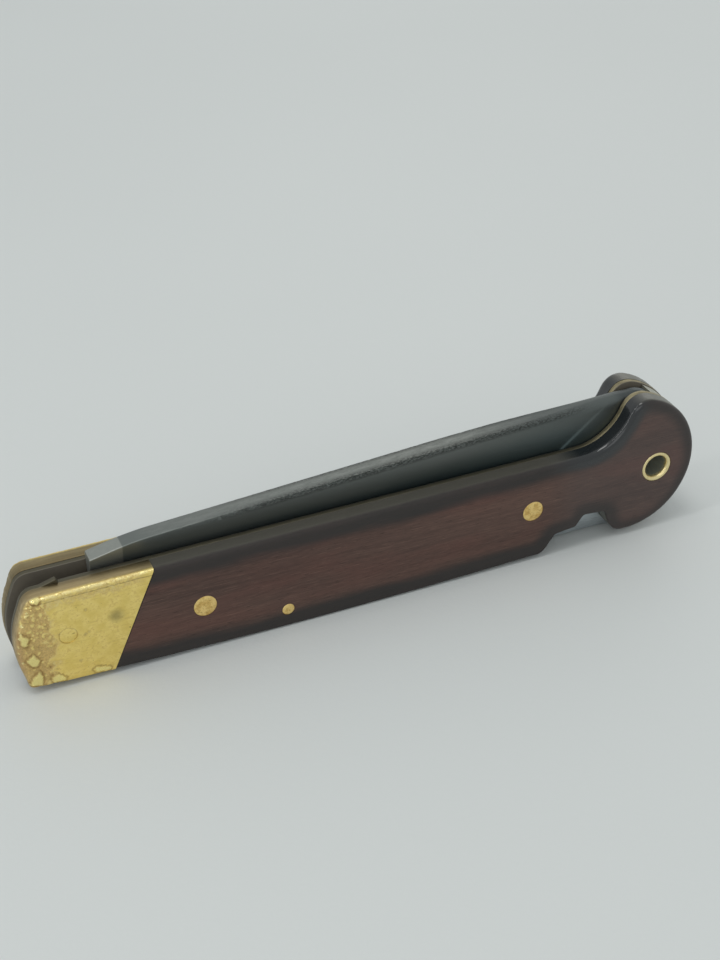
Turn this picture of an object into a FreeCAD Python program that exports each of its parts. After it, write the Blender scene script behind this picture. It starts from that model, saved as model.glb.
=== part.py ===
"""Folding pocket knife with a back lock, closed and standing on its back.

Row frame in millimetres: +X towards the rounded pivot head, +Y across the handle, +Z up
from the back of the handle to the slot that the blade folds into.  Every sub-part is drawn
from the pivot axis, and its Placement moves it to the row frame.
"""
import FreeCAD
import Part
import math
import os
import Sketcher

Vector = FreeCAD.Vector

DRIVING = [
    ("pivot_ahead", 55.5, "pivot axis ahead of the handle's middle"),
    ("pivot_up", 13.5, "pivot axis above the back"),
    ("slot_width", 3.6, "gap between the liners"),
    ("liner_thick", 1.0, "brass liner plate"),
    ("scale_thick", 3.2, "wood scale and brass bolster"),
    ("blade_thick", 3.2, "blade stock"),
    ("bar_thick", 3.3, "lock bar stock"),
    ("spring_width", 3.0, "lock spring strip"),
    ("tube_outer", 6.0, "pivot tube outside diameter"),
    ("tube_bore", 4.2, "pivot tube bore"),
    ("tube_flare", 0.3, "flare at the mouths of the tube"),
    ("tang_play", 0.05, "radial play of the tang on the tube"),
    ("bar_play", 0.04, "radial play of the lock bar on its pin"),
    ("pin_wide", 4.0, "large handle pins"),
    ("lock_pin_wide", 2.2, "pin that the lock bar rocks on"),
    ("rivet_wide", 3.0, "bolster rivet"),
    ("pin_edge", 0.15, "broken edge of the pin heads"),
    ("washer_wide", 9.0, "pivot washer"),
    ("washer_thick", 0.15, "pivot washer shim"),
    ("sleeve_wall", 0.8, "wall of the spacer sleeves"),
    ("front_pin_x", -25.3, "front pin from the pivot axis"),
    ("front_pin_z", 10.7, "front pin above the back"),
    ("rear_pin_x", -86.9, "rear pin from the pivot axis"),
    ("rear_pin_z", 8.9, "rear pin above the back"),
    ("lock_pin_x", -72.3, "lock pin from the pivot axis"),
    ("lock_pin_z", 3.6, "lock pin above the back"),
    ("rivet_x", -110.1, "bolster rivet from the pivot axis"),
    ("rivet_z", 10.2, "bolster rivet above the back"),
    ("long_round", 2.0, "rounding of the long outer edges"),
    ("head_round", 1.0, "rounding of the outer edge of the head"),
    ("bolster_round", 0.5, "rounding of the bolster's long outer edges"),
    ("end_round", 1.6, "rounding of the rear end in plan"),
]
SIZE = {name: value for name, value, _ in DRIVING}

# Places on the side view, as (x from the pivot axis, z above the back, corner radius).
SEAM_TOP = (-94.9, 19.0)
SEAM_FOOT = (-103.1, 1.0)
HEAD_END = 7.85
HEAD_FOOT = 1.0
HORN = (-5.0, 28.6, 1.5)
HEAD_BROW = (HEAD_END, 26.3, 13.9)
SLOT_EDGE_REAR = 18.7
SLOT_EDGE_FRONT = 19.55
REAR_END = [(-117.3, 1.3, 0), (-119.45, 9.9, 16.0), (-115.9, SLOT_EDGE_REAR, 0)]
SHOULDER = [(-9.0, SLOT_EDGE_FRONT, 10.0), HORN]
HEAD = [HEAD_BROW, (HEAD_END, HEAD_FOOT, 13.4), (-8.3, HEAD_FOOT, 0)]
FINGER_NOTCH = [(-10.2, 6.6, 1.1), (-14.7, 7.0, 0.7), (-16.3, 4.85, 0.5), (-20.5, 4.4, 0.8), (-23.2, 0.62, 0)]
BELLY = [(-70.0, -0.54, 1000.0)]

# Tang and lock.
CAM_RADIUS = 7.6
LOBE_RADIUS = 8.95
LOBE_FOOT_ANGLE = 15.0
HOOK_FRONT = -3.15
HOOK_BACK = -4.9
HOOK_TOP = 5.0
HOOK_RISE = 1.6
HOOK_ROOM = 0.15
SPUR_BACK = 0.2
SPUR_FRONT = 3.0
SPUR_DEPTH = 0.25
HEEL = 12.77
RECESS_DEPTH = 0.6
SPINE_HEAD = (-6.4, 27.4)
SPINE_BEND = (-40.0, 25.75)
SPINE_TAIL = (-97.0, 22.1)
TIP = -104.4
TIP_TOP = 20.5
TIP_CUT = 1.6
EDGE = 13.2
EDGE_FRONT = -28.5
EDGE_HALF = 0.2
CHOIL = -27.3
PLUNGE_TOP = (-7.4, 28.4)
PLUNGE_FOOT = (-26.8, 12.4)

# Lock bar, lifted clear of the tang.
BAR_BACK = 0.4
BAR_NECK = [(HOOK_BACK, 4.0, 0.4), (-6.4, 3.5, 1.0), (-30.0, 4.2, 60.0)]
BOSS_TOP = 6.3
BOSS_HALF = 2.2
TAIL_END = -104.0
TAIL_TOP = 3.4
TAIL_BACK = 1.35

# Lock spring, a strip folded into a narrow V.
SPRING_REAR = -112.0
SPRING_FOLD = -81.4
SPRING_FOOT = -104.6
STRIP = 0.6


def mirrored_height(z):
    """Height of a point after half a turn about the pivot axis."""
    return 2 * SIZE["pivot_up"] - z


def rounded(corners):
    """Closed outline through the corners, each (x, z, radius), as lines and tangent arcs."""
    count = len(corners)
    cuts = []
    for index, (x, z, radius) in enumerate(corners):
        here = Vector(x, z, 0)
        before = Vector(*corners[index - 1][:2], 0) - here
        after = Vector(*corners[(index + 1) % count][:2], 0) - here
        if radius == 0:
            cuts.append((here, None, here))
            continue
        half = before.getAngle(after) / 2
        reach = radius / math.tan(half)
        before.normalize()
        after.normalize()
        middle = (before + after).normalize()
        centre = here + middle * (radius / math.sin(half))
        cuts.append((here + before * reach, centre - middle * radius, here + after * reach))
    edges = []
    for index, (start, bulge, end) in enumerate(cuts):
        if bulge is not None:
            edges.append(Part.Arc(start, bulge, end))
        edges.append(Part.LineSegment(end, cuts[(index + 1) % count][0]))
    return edges


def polar(radius, degrees):
    """Point at a radius and an angle about the pivot axis."""
    angle = math.radians(degrees)
    return (radius * math.cos(angle), SIZE["pivot_up"] + radius * math.sin(angle))


def head_height(x):
    """Height of the head's upper outline at x, on the arc tangent to the brow line and the end."""
    brow_x, brow_z, radius = HEAD_BROW
    slope = math.atan2(HORN[1] - brow_z, brow_x - HORN[0])
    centre_z = brow_z - radius / math.tan(math.pi / 4 + slope / 2)
    return centre_z + math.sqrt(radius ** 2 - (x - brow_x + radius) ** 2)


def handle_outline():
    """Whole side view of the handle, which is the shape of a liner."""
    return rounded(REAR_END + SHOULDER + HEAD + FINGER_NOTCH + BELLY)


def seam_x(z):
    """Place on the diagonal seam between bolster and scale."""
    share = (z - SEAM_FOOT[1]) / (SEAM_TOP[1] - SEAM_FOOT[1])
    return SEAM_FOOT[0] + share * (SEAM_TOP[0] - SEAM_FOOT[0])


def waste_past_seam(front):
    """Outline of the waste in front of the seam, or behind it."""
    low, high = -5.0, 35.0
    far = 40.0 if front else -150.0
    return [(seam_x(low), low, 0), (seam_x(high), high, 0), (far, high, 0), (far, low, 0)]


def tang_outline():
    """Blade and tang, closed: spine, square tip, edge, heel, cam, lobe, lock notch, spur and recess."""
    up = SIZE["pivot_up"]
    notch_front = -HOOK_BACK + HOOK_ROOM
    notch_floor = mirrored_height(HOOK_TOP + HOOK_RISE + HOOK_ROOM)
    lobe_top = up + math.sqrt(LOBE_RADIUS ** 2 - notch_front ** 2)
    lobe_foot = polar(CAM_RADIUS, LOBE_FOOT_ANGLE)
    heel_back = -math.sqrt(CAM_RADIUS ** 2 - (up - HEEL) ** 2)
    detent_top = HOOK_TOP + HOOK_RISE + HOOK_ROOM
    detent_reach = math.sqrt(CAM_RADIUS ** 2 - (up - detent_top) ** 2)
    detent_end = HOOK_FRONT + 2 * HOOK_ROOM
    cam_low = up - math.sqrt(CAM_RADIUS ** 2 - detent_end ** 2)
    recess_rear = HORN[0] + HORN[2]
    recess = [(x, head_height(x) - RECESS_DEPTH) for x in (SPUR_BACK, (SPUR_BACK + recess_rear) / 2, recess_rear)]
    points = recess + [
        SPINE_HEAD, SPINE_BEND, SPINE_TAIL, (TIP, TIP_TOP), (TIP, EDGE + TIP_CUT), (TIP + TIP_CUT, EDGE),
        (EDGE_FRONT, EDGE), (CHOIL, HEEL), (heel_back, HEEL),
    ]
    edges = []

    def line(start, end):
        edges.append(Part.LineSegment(Vector(*start, 0), Vector(*end, 0)))

    def arc(start, through, end):
        edges.append(Part.Arc(Vector(*start, 0), Vector(*through, 0), Vector(*end, 0)))

    for start, end in zip(points, points[1:]):
        line(start, end)
    arc(points[-1], polar(CAM_RADIUS, 200), (-detent_reach, detent_top))
    line((-detent_reach, detent_top), (detent_end, detent_top))
    line((detent_end, detent_top), (detent_end, cam_low))
    arc((detent_end, cam_low), polar(CAM_RADIUS, -40), lobe_foot)
    line(lobe_foot, (notch_front, lobe_top))
    line((notch_front, lobe_top), (notch_front, notch_floor))
    line((notch_front, notch_floor), (SPUR_FRONT, notch_floor))
    spur_front_top = (SPUR_FRONT, head_height(SPUR_FRONT) - SPUR_DEPTH)
    spur_back_top = (SPUR_BACK, head_height(SPUR_BACK) - SPUR_DEPTH)
    middle = (SPUR_BACK + SPUR_FRONT) / 2
    line((SPUR_FRONT, notch_floor), spur_front_top)
    arc(spur_front_top, (middle, head_height(middle) - SPUR_DEPTH), spur_back_top)
    line(spur_back_top, points[0])
    return edges


def lock_bar_outline():
    """Lock bar lifted clear of the tang: hook at the front, boss round its pin, flat tail."""
    pin_x = SIZE["lock_pin_x"]
    hook = [(HOOK_FRONT, BAR_BACK, 0.4), (HOOK_FRONT, HOOK_TOP, 0.15), (HOOK_BACK, HOOK_TOP, 0.2)]
    boss = [
        (pin_x + 2.5 * BOSS_HALF, 4.6, 3.0), (pin_x + BOSS_HALF, BOSS_TOP, 1.5),
        (pin_x - BOSS_HALF, BOSS_TOP, 1.5), (pin_x - 2.1 * BOSS_HALF, TAIL_TOP, 2.0),
    ]
    tail = [(TAIL_END, TAIL_TOP, 0.6), (TAIL_END, TAIL_BACK, 0.6), (pin_x, BAR_BACK, 120.0)]
    return rounded(hook + BAR_NECK + boss + tail)


def lock_spring_outline():
    """Upper leg under the sleeves, fold at the front, lower leg on the tail of the bar."""
    upper_rear = 7.62
    fold_top = 5.7
    fold_foot = 4.2
    foot = 3.52
    inner = SPRING_FOLD - 1.0
    return rounded([
        (SPRING_REAR, upper_rear, 0.2), (SPRING_FOLD, fold_top, 0.72), (SPRING_FOLD, fold_foot, 0.72),
        (SPRING_FOOT, foot, 0.2), (SPRING_FOOT, foot + STRIP, 0.2), (inner, fold_foot + STRIP, 0.14),
        (inner, fold_top - STRIP + 0.04, 0.14), (SPRING_REAR, upper_rear - STRIP, 0.2),
    ])


def plane(body, role):
    """Origin plane of a body."""
    return next(item for item in body.Origin.OriginFeatures if item.Role == role)


def new_body(doc, label, side=0):
    """Body named for its sub-part; side -1 or 1 puts its base at that face of the slot."""
    body = doc.addObject("PartDesign::Body", label)
    body.Label = label
    body.setExpression(".Placement.Base.x", "Sizes.pivot_ahead")
    if side:
        sign = "-" if side < 0 else ""
        body.setExpression(".Placement.Base.y", sign + "Sizes.slot_width / 2")
    return body


def side_sketch(body, name, edges=()):
    """Sketch on the body's side-view plane."""
    sketch = body.newObject("Sketcher::SketchObject", name)
    sketch.AttachmentSupport = (plane(body, "XZ_Plane"), "")
    sketch.MapMode = "FlatFace"
    if edges:
        sketch.addGeometry(list(edges), False)
    return sketch


def add_circle(sketch, across, x_cell=None, z_cell="pivot_up"):
    """Circle whose diameter and centre follow cells of the sheet."""
    x = SIZE[x_cell] if x_cell else 0
    index = sketch.addGeometry(Part.Circle(Vector(x, SIZE[z_cell], 0), Vector(0, 0, 1), 1.0), False)
    diameter = sketch.addConstraint(Sketcher.Constraint("Diameter", index, 2.0))
    sketch.setExpression(f"Constraints[{diameter}]", across)
    height = sketch.addConstraint(Sketcher.Constraint("DistanceY", -1, 1, index, 3, SIZE[z_cell]))
    sketch.setExpression(f"Constraints[{height}]", f"Sizes.{z_cell}")
    if x_cell:
        reach = sketch.addConstraint(Sketcher.Constraint("DistanceX", -1, 1, index, 3, x))
        sketch.setExpression(f"Constraints[{reach}]", f"Sizes.{x_cell}")
    else:
        sketch.addConstraint(Sketcher.Constraint("PointOnObject", index, 3, -2))


def pad(body, sketch, length, side=0):
    """Pad a sketch outwards from the slot, or evenly about the middle where side is 0."""
    feature = body.newObject("PartDesign::Pad", sketch.Name + "_pad")
    feature.Profile = sketch
    feature.setExpression("Length", length)
    if side:
        feature.Reversed = side > 0
    else:
        feature.Midplane = True
    return feature


HANDLE_HOLES = [
    ("Sizes.tube_outer", None, "pivot_up"),
    ("Sizes.pin_wide", "front_pin_x", "front_pin_z"),
    ("Sizes.pin_wide", "rear_pin_x", "rear_pin_z"),
    ("Sizes.lock_pin_wide", "lock_pin_x", "lock_pin_z"),
]
RIVET_HOLE = ("Sizes.rivet_wide", "rivet_x", "rivet_z")


def build_liner(doc, label, side):
    """Brass plate with the whole side view of the handle."""
    body = new_body(doc, label, side)
    sketch = side_sketch(body, label + "_outline", handle_outline())
    for hole in HANDLE_HOLES + [RIVET_HOLE]:
        add_circle(sketch, *hole)
    pad(body, sketch, "Sizes.liner_thick", side)
    return body


def cut_at_seam(body, label, keep_front):
    """Cut away what lies past the diagonal seam."""
    sketch = side_sketch(body, label + "_seam", rounded(waste_past_seam(not keep_front)))
    pocket = body.newObject("PartDesign::Pocket", label + "_seam_cut")
    pocket.Profile = sketch
    pocket.setExpression("Length", "Sizes.scale_thick * 2")
    pocket.Midplane = True
    return pocket


def outer_edges(shape, outside, radius_of):
    """Edges that lie in the outer face, with the rounding that radius_of gives each end."""
    chosen = []
    for number, edge in enumerate(shape.Edges, 1):
        ends = [edge.valueAt(edge.FirstParameter), edge.valueAt(edge.LastParameter)]
        if any(abs(abs(end.y) - outside) > 1e-4 for end in ends):
            continue
        if len(edge.Vertexes) < 2:
            continue
        radii = radius_of(edge, ends)
        if radii:
            chosen.append((number, *radii))
    return chosen


def place_plate(body, side):
    """Lift a scale or bolster off the liner's outer face."""
    sign = "-" if side < 0 else ""
    body.setExpression(".Placement.Base.y", f"{sign}(Sizes.slot_width / 2 + Sizes.liner_thick)")


def rounded_plate(doc, label, body, side, radius_of):
    """Round the outer edges of a plate."""
    doc.recompute()
    base = body.Placement.Base
    outside = abs(base.y) + SIZE["scale_thick"]

    def local(edge, ends):
        return radius_of([end.x - base.x for end in ends], [end.z for end in ends])

    plate = doc.addObject("Part::Fillet", label + "_rounded")
    plate.Base = body
    plate.Edges = outer_edges(body.Shape, outside, local)
    body.Label = label + "_blank"
    plate.Label = label
    return plate


def scale_rounding(xs, zs):
    """Soft long edges, a tighter head, and a blend between them over the concave sweep."""
    middle_x = sum(xs) / 2
    middle_z = sum(zs) / 2
    in_notch = -24.0 < middle_x < -7.0 and middle_z < 8.0
    on_seam = abs(xs[0] - seam_x(zs[0])) < 0.01 and abs(xs[1] - seam_x(zs[1])) < 0.01
    if in_notch or on_seam:
        return None
    soft, tight = SIZE["long_round"], SIZE["head_round"]
    return [soft if x < -15.0 else tight for x in xs]


def bolster_rounding(xs, zs):
    """Crisp long edges and a rounder rear end."""
    on_seam = abs(xs[0] - seam_x(zs[0])) < 0.01 and abs(xs[1] - seam_x(zs[1])) < 0.01
    if on_seam:
        return None
    crisp, soft = SIZE["bolster_round"], SIZE["end_round"]
    radius = soft if sum(xs) / 2 < -115.95 else crisp
    return [radius, radius]


def build_scale(doc, label, side):
    """Wood scale from the seam to the head."""
    body = new_body(doc, label + "_blank", side)
    sketch = side_sketch(body, label + "_outline", handle_outline())
    for hole in HANDLE_HOLES:
        add_circle(sketch, *hole)
    pad(body, sketch, "Sizes.scale_thick", side)
    cut_at_seam(body, label, keep_front=True)
    place_plate(body, side)
    return rounded_plate(doc, label, body, side, scale_rounding)


def build_bolster(doc, label, side):
    """Brass bolster behind the seam."""
    body = new_body(doc, label + "_blank", side)
    sketch = side_sketch(body, label + "_outline", handle_outline())
    add_circle(sketch, *RIVET_HOLE)
    pad(body, sketch, "Sizes.scale_thick", side)
    cut_at_seam(body, label, keep_front=False)
    place_plate(body, side)
    return rounded_plate(doc, label, body, side, bolster_rounding)


def grind_wedge(side):
    """What the grinding takes off one side, from the spine's corner down to the edge."""
    sections = []
    for x, spine_z in (SPINE_HEAD, SPINE_TAIL, (TIP - 1.0, TIP_TOP - 0.2)):
        corner = Vector(x, side * SIZE["blade_thick"] / 2, spine_z)
        low = Vector(x, side * (EDGE_HALF - 0.1), EDGE - 1.0)
        wide = side * SIZE["blade_thick"]
        sections.append(Part.makePolygon([corner, low, Vector(x, wide, low.z), Vector(x, wide, spine_z), corner]))
    wedge = Part.makeLoft(sections, True, True)
    guard = [PLUNGE_TOP, PLUNGE_FOOT, (PLUNGE_FOOT[0], -9.0), (20.0, -9.0), (20.0, 40.0), (PLUNGE_TOP[0], 40.0)]
    corners = [Vector(x, -9.0, z) for x, z in guard]
    tang_block = Part.Face(Part.makePolygon(corners + corners[:1])).extrude(Vector(0, 18.0, 0))
    return wedge.cut(tang_block)


def build_blade(doc):
    """Blade ground from both sides, with a full-thickness tang behind the slanted plunge line."""
    body = new_body(doc, "blade_blank")
    sketch = side_sketch(body, "blade_outline", tang_outline())
    add_circle(sketch, "Sizes.tube_outer + 2 * Sizes.tang_play")
    pad(body, sketch, "Sizes.blade_thick")
    doc.recompute()
    blade = body
    for side, name in ((-1, "left_grind"), (1, "right_grind")):
        grind = doc.addObject("Part::Feature", name)
        grind.Shape = grind_wedge(side)
        grind.Placement = body.Placement
        ground = doc.addObject("Part::Cut", "blade_" + name)
        ground.Base = blade
        ground.Tool = grind
        blade = ground
    blade.Label = "blade"
    return blade


def build_lock_bar(doc):
    """Rocker along the back, with its hook under the tang and its tail under the spring."""
    body = new_body(doc, "lock_bar")
    sketch = side_sketch(body, "lock_bar_outline", lock_bar_outline())
    add_circle(sketch, "Sizes.lock_pin_wide + 2 * Sizes.bar_play", "lock_pin_x", "lock_pin_z")
    pad(body, sketch, "Sizes.bar_thick")
    return body


def build_lock_spring(doc):
    """Folded strip between the spacer sleeves and the tail of the lock bar."""
    body = new_body(doc, "lock_spring")
    sketch = side_sketch(body, "lock_spring_outline", lock_spring_outline())
    pad(body, sketch, "Sizes.spring_width")
    return body


def end_rims(shape, radius):
    """Names of the circular edges of one radius at both ends of a round piece."""
    return [
        f"Edge{number}" for number, edge in enumerate(shape.Edges, 1)
        if hasattr(edge.Curve, "Radius") and abs(edge.Curve.Radius - radius) < 1e-4
    ]


def build_round(doc, label, outer, length, place, bore=None, broken=None):
    """Pin, tube, washer or sleeve across the handle; broken is (radius of the rim, cell of the chamfer)."""
    body = new_body(doc, label)
    sketch = side_sketch(body, label + "_circle")
    add_circle(sketch, outer, *place)
    if bore:
        add_circle(sketch, bore, *place)
    turned = pad(body, sketch, length)
    if broken:
        doc.recompute()
        radius, cell = broken
        chamfer = body.newObject("PartDesign::Chamfer", label + "_rim")
        chamfer.Base = (turned, end_rims(turned.Shape, radius))
        chamfer.setExpression("Size", f"Sizes.{cell}")
    return body


PIVOT = (None, "pivot_up")
FRONT_PIN = ("front_pin_x", "front_pin_z")
REAR_PIN = ("rear_pin_x", "rear_pin_z")
LOCK_PIN = ("lock_pin_x", "lock_pin_z")
RIVET = ("rivet_x", "rivet_z")
FULL_WIDTH = "Sizes.slot_width + 2 * Sizes.liner_thick + 2 * Sizes.scale_thick"


def build_pins(doc):
    """Pivot tube, handle pins, bolster rivet, and the sleeves and washers between the liners."""
    pieces = [build_round(doc, "pivot_tube", "Sizes.tube_outer", FULL_WIDTH, PIVOT, "Sizes.tube_bore",
                          (SIZE["tube_bore"] / 2, "tube_flare"))]
    for label, cell, place in (
        ("front_pin", "pin_wide", FRONT_PIN), ("rear_pin", "pin_wide", REAR_PIN),
        ("lock_pin", "lock_pin_wide", LOCK_PIN), ("bolster_rivet", "rivet_wide", RIVET),
    ):
        rim = (SIZE[cell] / 2, "pin_edge")
        pieces.append(build_round(doc, label, f"Sizes.{cell}", FULL_WIDTH, place, None, rim))
    for label, cell, place in (("rear_sleeve", "pin_wide", REAR_PIN), ("rivet_sleeve", "rivet_wide", RIVET)):
        outer = f"Sizes.{cell} + 2 * Sizes.sleeve_wall"
        pieces.append(build_round(doc, label, outer, "Sizes.slot_width", place, f"Sizes.{cell}"))
    for label, sign in (("left_washer", "-"), ("right_washer", "")):
        washer = build_round(doc, label, "Sizes.washer_wide", "Sizes.washer_thick", PIVOT, "Sizes.tube_outer")
        washer.setExpression(".Placement.Base.y", f"{sign}(Sizes.slot_width - Sizes.washer_thick) / 2")
        pieces.append(washer)
    return pieces


def check_document(doc):
    """Stop if any object failed to compute."""
    for item in doc.Objects:
        if "Invalid" in item.State or "Error" in item.State:
            raise RuntimeError(f"{item.Label} did not compute: {item.State}")


def check_piece(piece):
    """Stop if a sub-part's shape is missing, broken or not one solid."""
    shape = piece.Shape
    if shape.isNull() or not shape.isValid() or len(shape.Solids) != 1:
        raise RuntimeError(f"{piece.Label} has no sound shape")


doc = FreeCAD.newDocument("folding_knife")
sheet = doc.addObject("Spreadsheet::Sheet", "Sizes")
for row, (name, value, meaning) in enumerate(DRIVING, 1):
    sheet.set(f"A{row}", meaning)
    sheet.set(f"B{row}", str(value))
    sheet.setAlias(f"B{row}", name)
doc.recompute()

pieces = []
for side, word in ((-1, "left"), (1, "right")):
    pieces.append(build_liner(doc, word + "_liner", side))
    pieces.append(build_scale(doc, word + "_scale", side))
    pieces.append(build_bolster(doc, word + "_bolster", side))
pieces.append(build_blade(doc))
pieces.append(build_lock_bar(doc))
pieces.append(build_lock_spring(doc))
pieces.extend(build_pins(doc))

doc.recompute()
check_document(doc)
for piece in pieces:
    check_piece(piece)

os.makedirs("parts", exist_ok=True)
for piece in pieces:
    piece.Shape.exportStep(f"parts/{piece.Label}.step")
    box = piece.Shape.BoundBox
    print(f"{piece.Label:16s} {piece.Shape.Volume:9.1f} mm3  x {box.XMin:7.2f} {box.XMax:7.2f}"
          f"  y {box.YMin:6.2f} {box.YMax:6.2f}  z {box.ZMin:6.2f} {box.ZMax:6.2f}")
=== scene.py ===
import math

import bmesh
import bpy
import numpy as np
from mathutils import Matrix, Vector, kdtree, noise
from mathutils.geometry import delaunay_2d_cdt


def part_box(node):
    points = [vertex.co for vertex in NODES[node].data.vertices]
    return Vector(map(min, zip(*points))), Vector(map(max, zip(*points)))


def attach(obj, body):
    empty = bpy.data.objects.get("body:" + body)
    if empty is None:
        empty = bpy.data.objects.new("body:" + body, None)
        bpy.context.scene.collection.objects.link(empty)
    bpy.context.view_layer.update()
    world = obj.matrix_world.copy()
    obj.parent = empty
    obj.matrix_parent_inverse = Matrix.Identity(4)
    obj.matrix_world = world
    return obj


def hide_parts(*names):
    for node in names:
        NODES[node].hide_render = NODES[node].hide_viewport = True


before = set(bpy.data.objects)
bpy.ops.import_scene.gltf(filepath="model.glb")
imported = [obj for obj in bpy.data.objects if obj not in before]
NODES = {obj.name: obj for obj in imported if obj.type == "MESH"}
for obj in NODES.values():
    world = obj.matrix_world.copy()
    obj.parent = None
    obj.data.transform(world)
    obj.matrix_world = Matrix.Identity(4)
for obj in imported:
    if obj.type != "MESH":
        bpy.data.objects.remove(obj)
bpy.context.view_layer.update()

MM = 0.001


# ---------------------------------------------------------------- places, in millimetres of the part's frame

def centre(node):
    """Middle of a CAD node in millimetres."""
    low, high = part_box(node)
    return (low + high) / 2 / MM


def reach(node):
    """Size of a CAD node in millimetres."""
    low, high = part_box(node)
    return (high - low) / MM


PIVOT = centre("pivot_tube")
OUTSIDE = reach("pivot_tube").y / 2
SLOT_SIDE = reach("rear_sleeve").y / 2
LINER_FACE = SLOT_SIDE + reach("left_liner").y
BLADE_HALF = reach("blade").y / 2
BAR_HALF = reach("lock_bar").y / 2
TUBE_RADIUS = reach("pivot_tube").x / 2

# Places below are (along, up): along the handle from the pivot axis, and upwards from the handle's back.
SEAM_TOP = (-94.9, 19.0)
SEAM_FOOT = (-103.1, 1.0)
SEAM_ALONG = 0.908
SEAM_UP = 0.418
SWEEP_START = -16.0
SWEEP_END = -6.0
NOTCH_SPAN = (-23.4, -7.6)
NOTCH_HIGH = 8.0

# Rounding of the wood's edges.
LONG_ROUND = 1.05
HEAD_ROUND = 1.0
NOTCH_ROUND = 0.12
FOOT_ROUND = 0.7

# Corner of the handle's outline, and how far from it the wear begins.
WORN_CORNERS = [
    ((-115.9, 18.7), 1.9),
    ((-117.3, 1.3), 0.6),
    ((-23.2, 0.62), 1.2),
    ((-8.3, 1.0), 3.2),
    ((-5.0, 28.6), 3.0),
]

# Step along a hole's rim.
HOLE_STEP = 0.3

# A loop turns sharply where it turns by more than this, in degrees, and a mesh is creased from this.
SHARP_TURN = 25.0
CREASE = math.radians(38.0)

# Play of the moving pieces on the tube and on the lock pin, all round.
TUBE_PLAY = 0.05
LOCK_PLAY = 0.04


def from_pivot(x):
    """Place along the handle, given from the pivot axis, in the part's frame."""
    return x + PIVOT.x


# ---------------------------------------------------------------- outlines

def side_outline(node, y):
    """Outline of a CAD node's flat side face at y, as (x, z) rows."""
    mesh = NODES[node].data
    spots = {}
    key = {}
    for vertex in mesh.vertices:
        place = tuple(round(value / MM, 4) for value in vertex.co)
        key[vertex.index] = spots.setdefault(place, len(spots))
    places = list(spots)
    links = set()
    for polygon in mesh.polygons:
        corners = [key[index] for index in polygon.vertices]
        if all(abs(places[corner][1] - y) < 1e-3 for corner in corners):
            links.update(zip(corners, corners[1:] + corners[:1]))
    following = {start: end for start, end in links if (end, start) not in links}
    loops = []
    while following:
        start = next(iter(following))
        loop = [start]
        step = following.pop(start)
        while step != start:
            loop.append(step)
            step = following.pop(step)
        loops.append(np.array([(places[index][0], places[index][2]) for index in loop]))
    return max(loops, key=lambda loop: abs(loop_area(loop)))


def loop_area(loop):
    """Signed area of a closed loop of (x, z) rows."""
    after = np.roll(loop, -1, axis=0)
    return 0.5 * float(np.sum(loop[:, 0] * after[:, 1] - after[:, 0] * loop[:, 1]))


def resample(loop, step):
    """The loop at even steps, with its sharp corners kept, its inside to the left."""
    if loop_area(loop) < 0:
        loop = loop[::-1]
    before = loop - np.roll(loop, 1, axis=0)
    after = np.roll(loop, -1, axis=0) - loop
    turn = np.degrees(np.abs(np.arctan2(
        before[:, 0] * after[:, 1] - before[:, 1] * after[:, 0],
        before[:, 0] * after[:, 0] + before[:, 1] * after[:, 1])))
    corners = [int(index) for index in np.nonzero(turn > SHARP_TURN)[0]] or [0]
    rows = []
    for number, start in enumerate(corners):
        end = corners[(number + 1) % len(corners)]
        span = (end - start) % len(loop) or len(loop)
        run = loop[[(start + offset) % len(loop) for offset in range(span + 1)]]
        lengths = np.concatenate([[0], np.cumsum(np.linalg.norm(np.diff(run, axis=0), axis=1))])
        count = max(2, int(round(lengths[-1] / step)))
        marks = np.linspace(0, lengths[-1], count + 1)[:-1]
        rows.append(np.stack([np.interp(marks, lengths, run[:, axis]) for axis in (0, 1)], axis=1))
    return np.concatenate(rows)


def inward(loop):
    """Unit normals of a loop, to the left of its direction."""
    along = np.roll(loop, -1, axis=0) - np.roll(loop, 1, axis=0)
    along /= np.linalg.norm(along, axis=1)[:, None]
    return np.stack([-along[:, 1], along[:, 0]], axis=1)


def inside(points, loop):
    """Which points lie inside a closed loop."""
    result = np.zeros(len(points), bool)
    after = np.roll(loop, -1, axis=0)
    for (x0, z0), (x1, z1) in zip(loop, after):
        if z0 == z1:
            continue
        crossing = (points[:, 1] < z0) != (points[:, 1] < z1)
        result ^= crossing & (points[:, 0] < (x1 - x0) * (points[:, 1] - z0) / (z1 - z0) + x0)
    return result


def circle_loop(x, z, radius, step):
    """Round loop for a hole."""
    count = max(24, int(2 * math.pi * radius / step))
    angles = np.linspace(0, 2 * math.pi, count, endpoint=False)
    return np.stack([x + radius * np.cos(angles), z + radius * np.sin(angles)], axis=1)


# ---------------------------------------------------------------- plates

ROUND_ROWS = 6
HOLE_ROUND = 0.08


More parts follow.
